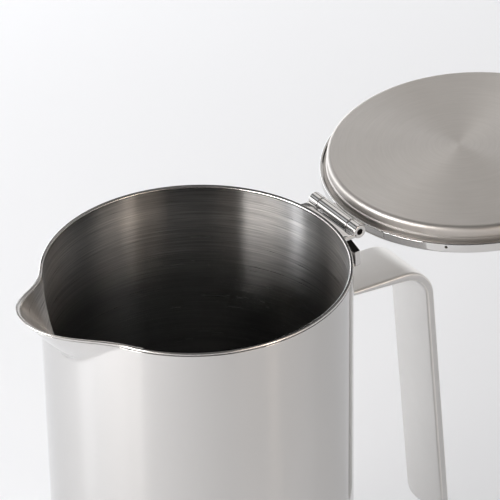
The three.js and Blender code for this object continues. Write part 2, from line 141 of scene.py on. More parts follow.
# Lid
LID_BAND_FOOT = RIM_HEIGHT + 0.6 * MM
LID_TOP = LID_BAND_FOOT + 3.5 * MM
LID_SHEET = 0.8 * MM
LID_EDGE_ROUND = 0.9 * MM
BAND_LIP_ROUND = 0.3 * MM
PLUG_RADIUS = MOUTH_RADIUS - 0.75 * MM
PLUG_FACE = LID_BAND_FOOT - 5 * MM
PLUG_EDGE_ROUND = 1.5 * MM
PLUG_STEP = 0.35 * MM
PLUG_STEP_FOOT = LID_BAND_FOOT - 1.4 * MM
PAN_FLANGE_FOOT = LID_BAND_FOOT + 0.5 * MM
VENT_RADIUS = 0.5 * MM
VENT_HEIGHT = 1.2 * MM
VENT_ANGLE = math.radians(-43.5)

# Fineness
ARC_STEPS = 6
SUPPORT = 0.4
SPOUT_ROWS = 30
WALL_ROWS = 10
ROUND_COLUMNS = 240
WALL_COLUMNS = 50
SPOUT_COLUMNS = 112
KNUCKLE_COLUMNS = 64
SEAT_STEPS = 24
BEND_STEPS = 24
STRIP_STEPS = 10
SHORT_STEPS = 6
CORNER_STEPS = 14
BEVEL_STEPS = 3
DRILL_SIDES = 24
WELD = 0.5e-6
SMOOTH_BELOW = math.radians(38)


# Node expressions
class Link:
    """An output socket that takes part in plain arithmetic by adding Math nodes to its tree."""

    def __init__(self, tree, socket=None):
        self.tree = tree
        self.socket = socket

    def node(self, kind, settings=None, sockets=None, output=0):
        made = self.tree.nodes.new(kind)
        for name, value in (settings or {}).items():
            setattr(made, name, value)
        for key, value in (sockets or {}).items():
            entry = find_socket(made.inputs, key)
            if isinstance(value, Link):
                self.tree.links.new(value.socket, entry)
            else:
                entry.default_value = value
        return Link(self.tree, find_socket(made.outputs, output))

    def math(self, operation, *values):
        return self.node("ShaderNodeMath", {"operation": operation}, dict(enumerate((self, *values))))

    def parts(self):
        split = self.node("ShaderNodeSeparateXYZ", None, {"Vector": self}).socket.node
        return [Link(self.tree, output) for output in split.outputs]

    def __add__(self, other):
        return self.math("ADD", other)

    def __radd__(self, other):
        return self.math("ADD", other)

    def __sub__(self, other):
        return self.math("SUBTRACT", other)

    def __rsub__(self, other):
        return self.node("ShaderNodeMath", {"operation": "SUBTRACT"}, {0: other, 1: self})

    def __mul__(self, other):
        return self.math("MULTIPLY", other)

    def __rmul__(self, other):
        return self.math("MULTIPLY", other)

    def __truediv__(self, other):
        return self.math("DIVIDE", other)

    def __pow__(self, other):
        return self.math("POWER", other)

    def __neg__(self):
        return self.math("MULTIPLY", -1.0)


def find_socket(sockets, key):
    if isinstance(key, int):
        return sockets[key]
    return next(s for s in sockets if key in (s.identifier, s.name))


# Finishes
# Painted shade in the liner: its colour darkens towards the bottom between these two heights
DEPTH_SHADE_LOW = RIM_HEIGHT - 36 * MM
DEPTH_SHADE_HIGH = RIM_HEIGHT - 12 * MM
# Painted shade in the liner: its colour darkens over this depth up to the rim's top
RIM_SHADE_DEPTH = 8 * MM
SPOUT_DULL = 3 * MM
BRUSH_SHIFT = Vector((-2.0, 3.5, 0)) * MM
HAZE_ROUGHNESS = 0.3


def new_finish(name, **constants):
    """A metal Principled material with its constant values set, and a link to start expressions from."""
    finish = bpy.data.materials.new(name)
    finish.use_nodes = True
    shader = finish.node_tree.nodes["Principled BSDF"]
    shader.inputs["Metallic"].default_value = 1.0
    for key, value in constants.items():
        shader.inputs[key.replace("_", " ")].default_value = value
    return finish, shader, Link(finish.node_tree)


def feed(shader, **links):
    for key, link in links.items():
        link.tree.links.new(link.socket, shader.inputs[key.replace("_", " ")])


def object_place(start, centre=(0, 0, 0), turn=(0, 0, 0)):
    place = start.node("ShaderNodeTexCoord", output="Object")
    return start.node("ShaderNodeMapping", {"vector_type": "TEXTURE"},
                      {"Vector": place, "Location": centre, "Rotation": turn})


def stretched(place, *scale):
    return place.node("ShaderNodeVectorMath", {"operation": "MULTIPLY"}, {0: place, 1: scale})


def noise(place, scale=1.0, detail=2.0, roughness=0.5):
    return place.node("ShaderNodeTexNoise", None,
                      {"Vector": place, "Scale": scale, "Detail": detail, "Roughness": roughness})


def between(start, share, low, high):
    """Colour from low to high by a share from 0 to 1, each a colour or a link to one."""
    ends = [end if isinstance(end, Link) else (*end, 1.0) for end in (low, high)]
    return start.node("ShaderNodeMix", {"data_type": "RGBA"},
                      {"Factor_Float": share, "A_Color": ends[0], "B_Color": ends[1]}, "Result_Color")


def bump(height, strength, distance):
    return height.node("ShaderNodeBump", None,
                       {"Height": height, "Strength": strength, "Distance": distance})


def clamp(link):
    return link.node("ShaderNodeClamp", None, {"Value": link})


def polished_steel(name, low, high, softness, haze=0.0):
    """Polished steel between two colours, with wiping marks and rare specks.

    softness is that of its reflections, and haze the share of light that fine polishing lines
    round the axis spread up and down."""
    finish, shader, start = new_finish(name)
    place = object_place(start)
    wiped = noise(stretched(place, 22, 22, 9), detail=5.0, roughness=0.6)
    grain = noise(stretched(place, 260, 260, 2600), detail=2.0)
    cells = start.node("ShaderNodeTexVoronoi", None, {"Vector": place, "Scale": 55.0, "Randomness": 1.0})
    cell_colour = Link(start.tree, cells.socket.node.outputs["Color"])
    chance = start.node("ShaderNodeSeparateColor", None, {"Color": cell_colour})
    speck = cells.math("LESS_THAN", 0.016) * chance.math("GREATER_THAN", 0.93)
    colour = between(start, clamp(wiped * 0.7 + speck * -0.9 + 0.15), low, high)
    feed(shader,
         Base_Color=colour,
         Roughness=softness + wiped * 0.05 + speck * 0.3,
         Normal=bump(wiped * 0.4 + grain * 0.02, 0.12, 0.0002))
    if haze:
        lines = start.node("ShaderNodeBsdfPrincipled", None, {
            "Base Color": colour, "Metallic": 1.0, "Roughness": HAZE_ROUGHNESS,
            "Anisotropic": 1.0, "Anisotropic Rotation": 0.25})
        mirror = Link(start.tree, shader.outputs[0])
        mixed = start.node("ShaderNodeMixShader", None, {0: haze, 1: mirror, 2: lines})
        start.tree.links.new(mixed.socket, start.tree.nodes["Material Output"].inputs["Surface"])
    return finish


def brushed_liner():
    """Steel brushed round the axis, with painted shade that darkens it towards the bottom and towards the
    rim, and duller in the spout.
    """
    finish, shader, start = new_finish("brushed_liner", Anisotropic=1.0, Anisotropic_Rotation=0.25)
    place = object_place(start)
    fine = noise(stretched(place, 34, 34, 4300), detail=2.0, roughness=0.6)
    coarse = noise(stretched(place, 42, 42, 1800), detail=3.0, roughness=0.65)
    wide = noise(stretched(place, 9, 9, 420), detail=2.0)
    tide = noise(stretched(place, 18, 18, 26), detail=3.0)
    line = clamp((coarse * 0.6 + fine * 0.42 + wide * 0.1 - 0.56) * 2.8 + 0.5)
    along, _, height = place.parts()
    spout = clamp((along + MOUTH_RADIUS) * (-1 / SPOUT_DULL)) * 0.75
    # Painted shade: the colour darkens towards the bottom of the liner
    depth_light = clamp((height - DEPTH_SHADE_LOW) * (1 / (DEPTH_SHADE_HIGH - DEPTH_SHADE_LOW))) * 0.85 + 0.15
    # Painted shade: the colour darkens over the last few millimetres up to the rim
    rim_shade = clamp((height - RIM_HEIGHT) * (1 / RIM_SHADE_DEPTH) + 1.0) * 0.5
    share = clamp(line * 0.7 + tide * 0.3 + 0.18) * depth_light * (1 - rim_shade)
    steel = between(start, share, (0.20, 0.2, 0.2), (0.95, 0.925, 0.90))
    feed(shader,
         Base_Color=between(start, spout, steel, (0.43, 0.39, 0.35)),
         Roughness=0.27 + line * 0.05,
         Normal=bump(line, 0.6, 0.00005))
    return finish


def brushed_lid(name, centre):
    """Steel spin-brushed in rings round a centre."""
    finish, shader, start = new_finish(name, Anisotropic=0.8, Anisotropic_Rotation=0.25)
    place = object_place(start, centre)
    x, y, _ = place.parts()
    ring = (x * x + y * y).math("SQRT")
    across = start.node("ShaderNodeCombineXYZ", None,
                        {"X": ring * 4200.0, "Y": x * 160.0, "Z": y * 160.0})
    wide = start.node("ShaderNodeCombineXYZ", None,
                      {"X": ring * 1300.0, "Y": x * 60.0, "Z": y * 60.0})
    cloud = noise(place, 90.0, 3.0)
    line = clamp(noise(across, detail=3.0, roughness=0.7) * 0.6 + noise(wide, detail=2.0) * 0.5 - 0.05)
    feed(shader,
         Base_Color=between(start, clamp(line * 0.9 + cloud * 0.3 - 0.12),
                            (0.50, 0.48, 0.455), (0.66, 0.635, 0.61)),
         Roughness=0.33 + line * 0.08,
         Normal=bump(line, 0.07, 0.00008))
    return finish


def satin_steel(name, low, high):
    finish, shader, start = new_finish(name)
    place = object_place(start)
    grain = noise(place, 2600.0, 3.0, 0.7)
    cloud = noise(place, 45.0, 4.0, 0.6)
    feed(shader,
         Base_Color=between(start, clamp(cloud * 0.7 + grain * 0.3), low, high),
         Roughness=0.36 + grain * 0.14,
         Normal=bump(grain, 0.18, 0.00008))
    return finish


def hinge_steel():
    finish, shader, start = new_finish("hinge_steel")
    place = object_place(start)
    rub = noise(stretched(place, 900, 160, 900), detail=4.0, roughness=0.6)
    feed(shader,
         Base_Color=between(start, rub, (0.58, 0.57, 0.56), (0.70, 0.69, 0.68)),
         Roughness=0.05 + rub * 0.06,
         Normal=bump(rub, 0.08, 0.0001))
    return finish


def plain_steel():
    finish, shader, start = new_finish("plain_steel")
    place = object_place(start)
    mill = noise(stretched(place, 60, 900, 60), detail=4.0, roughness=0.6)
    feed(shader,
         Base_Color=between(start, mill, (0.42, 0.415, 0.41), (0.56, 0.55, 0.54)),
         Roughness=0.28 + mill * 0.2,
         Normal=bump(mill, 0.1, 0.0001))
    return finish


# Near-black steel for the pin and the lever's underside: painted shade in the knuckle's bore and under the
# lever
def shade_black_steel():
    finish, shader, start = new_finish("shade_black_steel")
    place = object_place(start)
    mill = noise(stretched(place, 900, 60, 900), detail=4.0, roughness=0.6)
    feed(shader,
         Base_Color=between(start, mill, (0.02, 0.02, 0.019), (0.05, 0.048, 0.046)),
         Roughness=0.4 + mill * 0.2,
         Normal=bump(mill, 0.1, 0.0001))
    return finish


def crinkled_foil():
    finish, shader, start = new_finish("crinkled_foil")
    place = object_place(start)
    crease = start.node("ShaderNodeTexVoronoi", {"feature": "DISTANCE_TO_EDGE"},
                        {"Vector": place, "Scale": 140.0})
    soft = noise(place, 260.0, 3.0)
    feed(shader,
         Base_Color=between(start, soft, (0.68, 0.66, 0.62), (0.80, 0.78, 0.75)),
         Roughness=0.16 + soft * 0.12,
         Normal=bump(crease + soft * 0.3, 0.5, 0.0006))
    return finish


def pale_foam():
    finish, shader, start = new_finish("pale_foam", Metallic=0.0)
    place = object_place(start)
    cells = start.node("ShaderNodeTexVoronoi", None, {"Vector": place, "Scale": 900.0})
    feed(shader,
         Base_Color=between(start, clamp(cells), (0.83, 0.79, 0.69), (0.66, 0.61, 0.5)),
         Roughness=0.85 + cells * 0.1,
         Normal=bump(cells, 0.5, 0.0005))
    return finish


def getter_alloy():
    finish, shader, start = new_finish("getter_alloy")
    place = object_place(start)
    grit = noise(place, 1800.0, 4.0, 0.7)
    feed(shader,
         Base_Color=between(start, grit, (0.10, 0.10, 0.105), (0.2, 0.2, 0.21)),
         Roughness=0.6 + grit * 0.3,
         Normal=bump(grit, 0.5, 0.0002))
    return finish


# Outlines
def rounded(corners):
    """Outline through corners of (x, y, round), each an arc with a support point at either side."""
    points = []
    count = len(corners)
    for i, (x, y, radius) in enumerate(corners):
        here = Vector((x, y))
        if radius == 0:
            points.append(here)
            continue
        back = (Vector(corners[i - 1][:2]) - here).normalized()
        ahead = (Vector(corners[(i + 1) % count][:2]) - here).normalized()
        half = back.angle(ahead) / 2
        reach = radius / math.tan(half)
        centre = here + (back + ahead).normalized() * radius / math.sin(half)
        arm = here + back * reach - centre
        last = here + ahead * reach - centre
        turn = math.atan2(arm.x * last.y - arm.y * last.x, arm.dot(last))
        points.append(here + back * reach * (1 + SUPPORT))
        for k in range(ARC_STEPS + 1):
            angle = turn * k / ARC_STEPS
            c, s = math.cos(angle), math.sin(angle)
            points.append(centre + Vector((c * arm.x - s * arm.y, s * arm.x + c * arm.y)))
        points.append(here + ahead * reach * (1 + SUPPORT))
    return points


def spread(low, high, count):
    """Evenly spaced values from low to high, both included."""
    return [low + (high - low) * i / count for i in range(count + 1)]


# Turned pieces
def roll_tree():
    """Geometry tree that rolls a sheet of (angle, radius, height) round the axis and draws a spout."""
    tree = bpy.data.node_groups.new("roll_round_axis", "GeometryNodeTree")
    tree.interface.new_socket("Sheet", in_out="INPUT", socket_type="NodeSocketGeometry")
    names = ("Reach", "Rise", "Depth", "Half Angle", "Rim Height",
             "Squareness", "Lip Taper", "Crease Taper", "Softness")
    for name in names:
        tree.interface.new_socket(name, in_out="INPUT", socket_type="NodeSocketFloat")
    tree.interface.new_socket("Finish", in_out="INPUT", socket_type="NodeSocketMaterial")
    tree.interface.new_socket("Bright Finish", in_out="INPUT", socket_type="NodeSocketMaterial")
    tree.interface.new_socket("Piece", in_out="OUTPUT", socket_type="NodeSocketGeometry")
    entry = tree.nodes.new("NodeGroupInput")
    start = Link(tree)
    sheet = Link(tree, entry.outputs["Sheet"])
    values = [Link(tree, entry.outputs[name]) for name in names]
    reach, rise, depth, half_angle, rim, square, lip, crease, soft = values
    angle, radius, height = start.node("GeometryNodeInputPosition").parts()
    side = (angle.math("ABSOLUTE") / half_angle).math("MINIMUM", 1.0)
    crease_depth = (depth * (1 - side ** 2.0) ** crease).math("MAXIMUM", 1e-5)
    climb = 1 - (rim - height) / crease_depth
    eased = (climb + (climb * climb + soft * soft).math("SQRT")) / (1 + (1 + soft * soft).math("SQRT"))
    pull = eased.math("MAXIMUM", 0.0) * (1 - side ** square) ** lip
    drawn = radius + reach * pull
    place = start.node("ShaderNodeCombineXYZ", None, {
        "X": -(drawn * angle.math("COSINE")),
        "Y": -(drawn * angle.math("SINE")),
        "Z": height + rise * pull})
    rolled = start.node("GeometryNodeSetPosition", None, {"Geometry": sheet, "Position": place})
    welded = start.node("GeometryNodeMergeByDistance", None, {"Geometry": rolled, "Distance": WELD})
    smooth = start.node("GeometryNodeSetShadeSmooth", None, {"Geometry": welded, "Shade Smooth": True})
    real = start.node("GeometryNodeRealizeInstances", None, {"Geometry": smooth})
    finished = start.node("GeometryNodeSetMaterial", None, {
        "Geometry": real, "Material": Link(tree, entry.outputs["Finish"])})
    chosen = start.node("GeometryNodeInputNamedAttribute", {"data_type": "BOOLEAN"},
                        {"Name": "bright"}, "Attribute")
    brightened = start.node("GeometryNodeSetMaterial", None, {
        "Geometry": finished, "Selection": chosen,
        "Material": Link(tree, entry.outputs["Bright Finish"])})
    exit_node = tree.nodes.new("NodeGroupOutput")
    tree.links.new(brightened.socket, exit_node.inputs["Piece"])
    return tree


ROLL = roll_tree()
EVEN_ANGLES = spread(-math.pi, math.pi, ROUND_COLUMNS)
WALL_ANGLES = [*spread(-math.pi, -SPOUT_EDGE, WALL_COLUMNS),
               *spread(-SPOUT_EDGE, SPOUT_EDGE, SPOUT_COLUMNS)[1:-1],
               *spread(SPOUT_EDGE, math.pi, WALL_COLUMNS)]
KNUCKLE_ANGLES = spread(-math.pi, math.pi, KNUCKLE_COLUMNS)


def turned(outline, finish, closed=True, angles=None, with_spout=False, bright=None, bright_finish=None):
    """Mesh of an outline of (radius, height), listed with the metal on its left, rolled round the axis.

    bright says by radius and height which faces take the second finish."""
    angles = angles or EVEN_ANGLES
    count = len(outline)
    sheet = bpy.data.meshes.new("sheet")
    corners = [(angle, radius, height) for angle in angles for radius, height in outline]
    faces = []
    chosen = []
    for i in range(len(angles) - 1):
        for j in range(count if closed else count - 1):
            up = (j + 1) % count
            faces.append((i * count + j, (i + 1) * count + j, (i + 1) * count + up, i * count + up))
            chosen.append(bool(bright and bright(*((outline[j] + outline[up]) / 2))))
    sheet.from_pydata(corners, [], faces)
    sheet.attributes.new("bright", "BOOLEAN", "FACE").data.foreach_set("value", chosen)
    blank = bpy.data.objects.new("sheet", sheet)
    bpy.context.scene.collection.objects.link(blank)
    roll = blank.modifiers.new("roll", "NODES")
    values = {
        "Reach": SPOUT_REACH if with_spout else 0.0, "Rise": SPOUT_RISE if with_spout else 0.0,
        "Depth": SPOUT_DEPTH, "Half Angle": SPOUT_HALF_ANGLE, "Rim Height": RIM_HEIGHT,
        "Squareness": LIP_SQUARENESS, "Lip Taper": LIP_TAPER, "Crease Taper": CREASE_TAPER,
        "Softness": CREASE_SOFTNESS, "Finish": finish, "Bright Finish": bright_finish or finish,
    }
    roll.node_group = ROLL
    for item in ROLL.interface.items_tree:
        if item.in_out == "INPUT" and item.name in values:
            roll[item.identifier] = values[item.name]
    bpy.context.view_layer.update()
    rolled = bpy.data.meshes.new_from_object(blank.evaluated_get(bpy.context.evaluated_depsgraph_get()))
    bpy.data.objects.remove(blank)
    bpy.data.meshes.remove(sheet)
    return rolled


def centred(mesh, middle=Vector((0, 0, RIM_HEIGHT / 2))):
    """Mesh whose texture space has a given middle, so that its brushing runs round that."""
    mesh.use_auto_texspace = False
    mesh.texspace_location = middle
    mesh.texspace_size = (BODY_RADIUS, BODY_RADIUS, RIM_HEIGHT / 2)
    return mesh


# Bars and plates
def bar(stations, edge):
    """Closed bar across Y with round edges, through stations of (upper point, lower point, half width).

    The points lie in the XZ plane."""
    rings = []
    for upper, lower, half_width in stations:
        middle = (upper + lower) / 2
        normal = (upper - lower).normalized()
        rings.append((middle, normal, half_width, (upper - lower).length / 2))
    built = bmesh.new()
    loops = []
    ends = (0, len(rings) - 1)
    for i, (middle, normal, half_width, half_thick) in enumerate(rings):
        small = min(edge, half_thick * 0.9)
        if i not in ends:
            loops.append(bar_loop(built, middle, normal, half_width, half_thick, small))
            continue
        inward = (rings[1][0] - middle if i == 0 else rings[-2][0] - middle).normalized()
        caps = []
        for k in range(ARC_STEPS):
            turn = math.pi / 2 * k / ARC_STEPS
            shrink = small * (1 - math.cos(turn))
            centre = middle + inward * small * (1 - math.sin(turn))
            caps.append((centre, half_width - shrink, half_thick - shrink, small * math.cos(turn)))
        for centre, wide, thick, corner in reversed(caps) if i == 0 else caps:
            loops.append(bar_loop(built, centre, normal, wide, thick, corner))
    for one, two in zip(loops, loops[1:]):
        for a in range(len(one)):
            b = (a + 1) % len(one)
            built.faces.new((one[a], one[b], two[b], two[a]))
    built.faces.new(list(reversed(loops[0])))
    built.faces.new(loops[-1])
    return built


def bar_loop(built, middle, normal, half_width, half_thick, corner):
    """One ring of a bar: a rectangle with round corners, across Y and along a normal in the XZ plane."""
    loop = []
    for across, through, first in ((1, 1, 0), (-1, 1, 1), (-1, -1, 2), (1, -1, 3)):
        for k in range(ARC_STEPS + 1):
            angle = math.pi / 2 * (first + k / ARC_STEPS)
            y = across * (half_width - corner) + corner * math.cos(angle)
            n = through * (half_thick - corner) + corner * math.sin(angle)
            spot = middle + normal * n
            loop.append(built.verts.new((spot.x, y, spot.y)))
    return loop


def plate(built, outline, heights, bevel):
    """Adds a plate to a mesh: an outline in XY between two heights, with its edges bevelled."""
    low = [built.verts.new((x, y, heights[0])) for x, y in outline]
    high = [built.verts.new((x, y, heights[1])) for x, y in outline]
    faces = [built.faces.new(list(reversed(low))), built.faces.new(high)]
    for a in range(len(low)):
        b = (a + 1) % len(low)
        faces.append(built.faces.new((low[a], low[b], high[b], high[a])))
    rims = [edge for face in faces[:2] for edge in face.edges]
    bmesh.ops.bevel(built, geom=rims, offset=bevel, segments=BEVEL_STEPS, profile=0.5,
                    affect="EDGES", clamp_overlap=True)


def to_mesh(built, finishes=(), turn_outward=True):
    """Smooth mesh of a built shape with its finishes."""
    bmesh.ops.remove_doubles(built, verts=built.verts, dist=WELD)
    if turn_outward:
        bmesh.ops.recalc_face_normals(built, faces=built.faces)
    made = bpy.data.meshes.new("made")
    built.to_mesh(made)
    built.free()
    made.shade_smooth()
    for finish in finishes:
        made.materials.append(finish)
    return made


def give_second_finish(mesh, chosen):
    """Gives the second finish to the faces that a test of their normal chooses."""
    for face in mesh.polygons:
        face.material_index = int(chosen(face.normal))
    return mesh


OPENED = Matrix.Translation(HINGE) @ Matrix.Rotation(OPEN_ANGLE, 4, "Y") @ Matrix.Translation(-HINGE)


def piece(name, mesh, node, body):
    """Finished piece that stands for a CAD node and rides on its body."""
    if body == "lid":
        mesh.transform(OPENED)
    mesh.set_sharp_from_angle(angle=SMOOTH_BELOW)
    made = bpy.data.objects.new(name, mesh)
    bpy.context.scene.collection.objects.link(made)
    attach(made, body)
    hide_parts(node)
    return made


# Finishes in use
brush_centre = OPENED @ Vector((0, 0, PLUG_FACE)) + BRUSH_SHIFT
polished = polished_steel("polished_steel", (0.60, 0.594, 0.588), (0.69, 0.684, 0.678), 0.03)
shell_polished = polished_steel(
    "polished_shell", (0.566, 0.559, 0.552), (0.652, 0.645, 0.637), 0.03, haze=0.09)
edge_polished = polished_steel("polished_edge", (0.48, 0.455, 0.43), (0.58, 0.555, 0.53), 0.46)
bead_polished = polished_steel("polished_bead", (0.58, 0.565, 0.55), (0.68, 0.665, 0.65), 0.22)
liner_brushed = brushed_liner()
lid_brushed = brushed_lid("brushed_lid", brush_centre)
lid_top_brushed = brushed_lid("brushed_lid_top", OPENED @ Vector((0, 0, LID_TOP)))
satin = satin_steel("satin_steel", (0.705, 0.695, 0.68), (0.825, 0.815, 0.8))
# Darker satin for the handle strip's flat sides: painted shade
shaded_satin_edge = satin_steel("shaded_satin_edge", (0.53, 0.535, 0.54), (0.62, 0.627, 0.632))
hinge_polished = hinge_steel()
plain = plain_steel()
shade_black = shade_black_steel()


# Outer shell
def outer_shell():
    heights = [*spread(SHELL_FOOT + BASE_ROUND, SPOUT_FOOT, WALL_ROWS)[:-1],
               *spread(SPOUT_FOOT, SHELL_TOP - SHEET_ROUND * 1.5, SPOUT_ROWS)]
    outside = [(BODY_RADIUS, z, 0) for z in heights]
    inside = [(SHELL_INNER_RADIUS, z, 0) for z in reversed(heights)]
    top = [(BODY_RADIUS, SHELL_TOP, SHEET_ROUND), (SHELL_INNER_RADIUS, SHELL_TOP, SHEET_ROUND)]
    foot = [(SHELL_INNER_RADIUS, SHELL_FOOT, SHEET_ROUND), (BODY_RADIUS, SHELL_FOOT, SHEET_ROUND)]
    outline = rounded([*outside, *top, *inside, *foot])
    return centred(turned(outline, shell_polished, angles=WALL_ANGLES, with_spout=True))


piece("shell", outer_shell(), "outer_shell", "jug")


# Inner liner with the rolled bead that sits on the shell's edge
def inner_liner():
    bead_foot = RIM_HEIGHT - RIM_BEAD_HEIGHT
    neck = [NECK_FOOT, *spread(SPOUT_FOOT, bead_foot, SPOUT_ROWS)[:-1]]
    taper = spread(0, 1, WALL_ROWS)
    outside = [(LINER_LOW_RADIUS + (LINER_TOP_RADIUS - LINER_LOW_RADIUS) * t,
                LINER_FOOT + (NECK_FOOT - LINER_FOOT) * t, 0) for t in taper]
    outside += [(LINER_TOP_RADIUS, z, 0) for z in neck[1:]]
    bead = [(LINER_TOP_RADIUS, bead_foot, 0), (BODY_RADIUS, bead_foot, SHEET_ROUND),
            (BODY_RADIUS, RIM_HEIGHT, RIM_ROUND), (MOUTH_RADIUS, RIM_HEIGHT, RIM_ROUND)]
    inside = [(MOUTH_RADIUS, z, 0) for z in reversed(neck[1:])]
    inside += [(LINER_LOW_RADIUS - SHEET + (MOUTH_RADIUS - LINER_LOW_RADIUS + SHEET) * t,
                LINER_FOOT + (NECK_FOOT - LINER_FOOT) * t, 0) for t in reversed(taper)]
    made = turned(rounded([*outside, *bead, *inside]), liner_brushed, angles=WALL_ANGLES, with_spout=True,
                  bright=lambda radius, height: height > bead_foot, bright_finish=bead_polished)
    return centred(made)


piece("liner", inner_liner(), "inner_liner", "jug")


# Bottom of the liner, slightly dished
def inner_bottom():
    dish_foot = LINER_FOOT - DISH_DEPTH
    outline = [(0, BOTTOM_FOOT, 0), (LINER_LOW_RADIUS, BOTTOM_FOOT, SHEET_ROUND),
               (LINER_LOW_RADIUS, LINER_FOOT, SHEET_ROUND),
               (LINER_LOW_RADIUS * DISH_EDGE_SHARE, LINER_FOOT, DISH_ROUND),
               (LINER_LOW_RADIUS * DISH_FLAT_SHARE, dish_foot, DISH_ROUND), (0, dish_foot, 0)]
    return turned(rounded(outline), liner_brushed, closed=False)


piece("liner_bottom", inner_bottom(), "inner_bottom", "jug")


# Cover that the jug stands on
def base_cover():
    flange = SHELL_INNER_RADIUS - SEAT_GAP
    top = BASE_PLATE + BASE_FLANGE
    outline = [(0, 0, 0), (BODY_RADIUS - BASE_PLATE, 0, BASE_ROUND),
               (BODY_RADIUS, BASE_PLATE, SHEET_ROUND), (flange, BASE_PLATE, 0), (flange, top, SHEET_ROUND),
               (flange - SHEET, top, SHEET_ROUND), (flange - SHEET, BASE_PLATE, 0), (0, BASE_PLATE, 0)]
    return turned(rounded(outline), polished, closed=False)


piece("base", base_cover(), "base_cover", "jug")


# Handle, one bent strip with round corners at its free end
def handle():
    wall = BODY_RADIUS + SEAT_GAP
    bend = Vector((BODY_RADIUS + HANDLE_REACH - HANDLE_BEND, RIM_HEIGHT - HANDLE_DROP - HANDLE_BEND))
    inner_bend = HANDLE_BEND - HANDLE_THICKNESS
    arm_angle = math.pi / 2 - HANDLE_SLOPE

    def on_arc(centre, radius, angle):
        return centre + Vector((math.cos(angle), math.sin(angle))) * radius

    arm_start = on_arc(bend, HANDLE_BEND, arm_angle)
    foot_x = wall + HANDLE_FOOT_BEND
    arm_top = arm_start.y + (arm_start.x - foot_x) * math.tan(HANDLE_SLOPE)
    foot = Vector((foot_x, arm_top - HANDLE_ROOT_THICKNESS + HANDLE_FOOT_BEND))
    foot_top = arm_top + HANDLE_FOOT
    half = HANDLE_WIDTH / 2
    stations = []
    for z in spread(foot_top, foot.y, SHORT_STEPS)[:-1]:
        stations.append((Vector((wall + HANDLE_ROOT_THICKNESS, z)), Vector((wall, z)), half))
    for angle in spread(math.pi, 1.5 * math.pi, STRIP_STEPS):
        upper = on_arc(foot, HANDLE_FOOT_BEND - HANDLE_ROOT_THICKNESS, angle)
        stations.append((upper, on_arc(foot, HANDLE_FOOT_BEND, angle), half))
    root_upper, root_lower, _ = stations[-1]
    under_start = on_arc(bend, inner_bend, arm_angle)
    for t in spread(0, 1, STRIP_STEPS)[1:-1]:
        stations.append((root_upper.lerp(arm_start, t), root_lower.lerp(under_start, t), half))
    for angle in spread(arm_angle, HANDLE_LEAN, BEND_STEPS):
        stations.append((on_arc(bend, HANDLE_BEND, angle), on_arc(bend, inner_bend, angle), half))
    upper, lower, _ = stations[-1]
    slant = math.tan(HANDLE_LEAN)
    leg_rows = spread(lower.y - HANDLE_TIP_HEIGHT, HANDLE_CORNER, STRIP_STEPS)[1:-1]
    corner_rows = [HANDLE_CORNER * (1 - t) ** 2 for t in spread(0, 1, CORNER_STEPS)]
    for drop in [*leg_rows, *corner_rows]:
        z = HANDLE_TIP_HEIGHT + drop
        near = max(0.0, 1 - math.sqrt(drop / HANDLE_CORNER))
        outer_point = Vector((upper.x + (upper.y - z) * slant, z))
        inner_point = Vector((lower.x + (lower.y - z) * slant, z))
        stations.append((outer_point, inner_point, half - HANDLE_CORNER * near ** 2))
    made = to_mesh(bar(stations, HANDLE_EDGE), [satin, shaded_satin_edge])
    # Painted shade: the strip's flat sides take the darker satin
    return give_second_finish(made, lambda normal: abs(normal.y) > SHADED_EDGE_FACING)


piece("handle_strip", handle(), "handle", "jug")


# Hinge
ALONG_HINGE = Matrix.Rotation(math.pi / 2, 4, "X")


def knuckle(built, length, middle):
    """Adds a rolled eye of a length to a mesh, with its middle at a place along the hinge's axis."""
    half = length / 2
    ring = [(BORE_RADIUS, -half, KNUCKLE_EDGE * 0.5), (KNUCKLE_RADIUS, -half, KNUCKLE_EDGE),
            (KNUCKLE_RADIUS, half, KNUCKLE_EDGE), (BORE_RADIUS, half, KNUCKLE_EDGE * 0.5)]
    eye = turned(rounded(ring), hinge_polished, angles=KNUCKLE_ANGLES)
    eye.transform(Matrix.Translation((HINGE.x, middle, HINGE.z)) @ ALONG_HINGE)
    built.from_mesh(eye)
    bpy.data.meshes.remove(eye)


def hinge_bracket():
    half = HINGE_LENGTH / 2
    slit_half = MIDDLE_KNUCKLE / 2 + KNUCKLE_GAP
    end_knuckle = half - slit_half
    wall = BODY_RADIUS + SEAT_GAP
    slit = HINGE.x - KNUCKLE_RADIUS - BRACKET_SLIT
    grip = HINGE.x - BRACKET_GRIP
    edge = math.asin(half / wall)
    outline = [(wall * math.cos(a), wall * math.sin(a)) for a in spread(-edge, edge, SEAT_STEPS)]
    outline += [(grip, half), (grip, slit_half), (slit, slit_half)]
    outline += [(slit, -slit_half), (grip, -slit_half), (grip, -half)]
    built = bmesh.new()
    plate(built, outline, (BRACKET_TOP - BRACKET_PLATE, BRACKET_TOP), PLATE_EDGE)
    for side in (-1, 1):
        knuckle(built, end_knuckle, side * (half - end_knuckle / 2))
    return to_mesh(built, [hinge_polished], False)


def lid_leaf():
    half = MIDDLE_KNUCKLE / 2
    reach = LID_RADIUS + SEAT_GAP
    edge = math.asin(half / reach)
    top = HINGE.z + KNUCKLE_RADIUS
    outline = [(reach * math.cos(a), reach * math.sin(a)) for a in spread(edge, -edge, SEAT_STEPS)]
    outline += [(HINGE.x, -half), (HINGE.x, half)]
    built = bmesh.new()
    plate(built, list(reversed(outline)), (top - LEAF_PLATE, top), PLATE_EDGE)
    knuckle(built, MIDDLE_KNUCKLE, 0)
    return to_mesh(built, [hinge_polished], False)


def hinge_pin():
    half = PIN_LENGTH / 2
    outline = [(0, -half, 0), (PIN_RADIUS, -half, KNUCKLE_EDGE),
               (PIN_RADIUS, half, KNUCKLE_EDGE), (0, half, 0)]
    # The pin's near-black ends paint the shade in the knuckle's bore
    made = turned(rounded(outline), shade_black, closed=False, angles=KNUCKLE_ANGLES)
    made.transform(Matrix.Translation(HINGE) @ ALONG_HINGE)
    return made


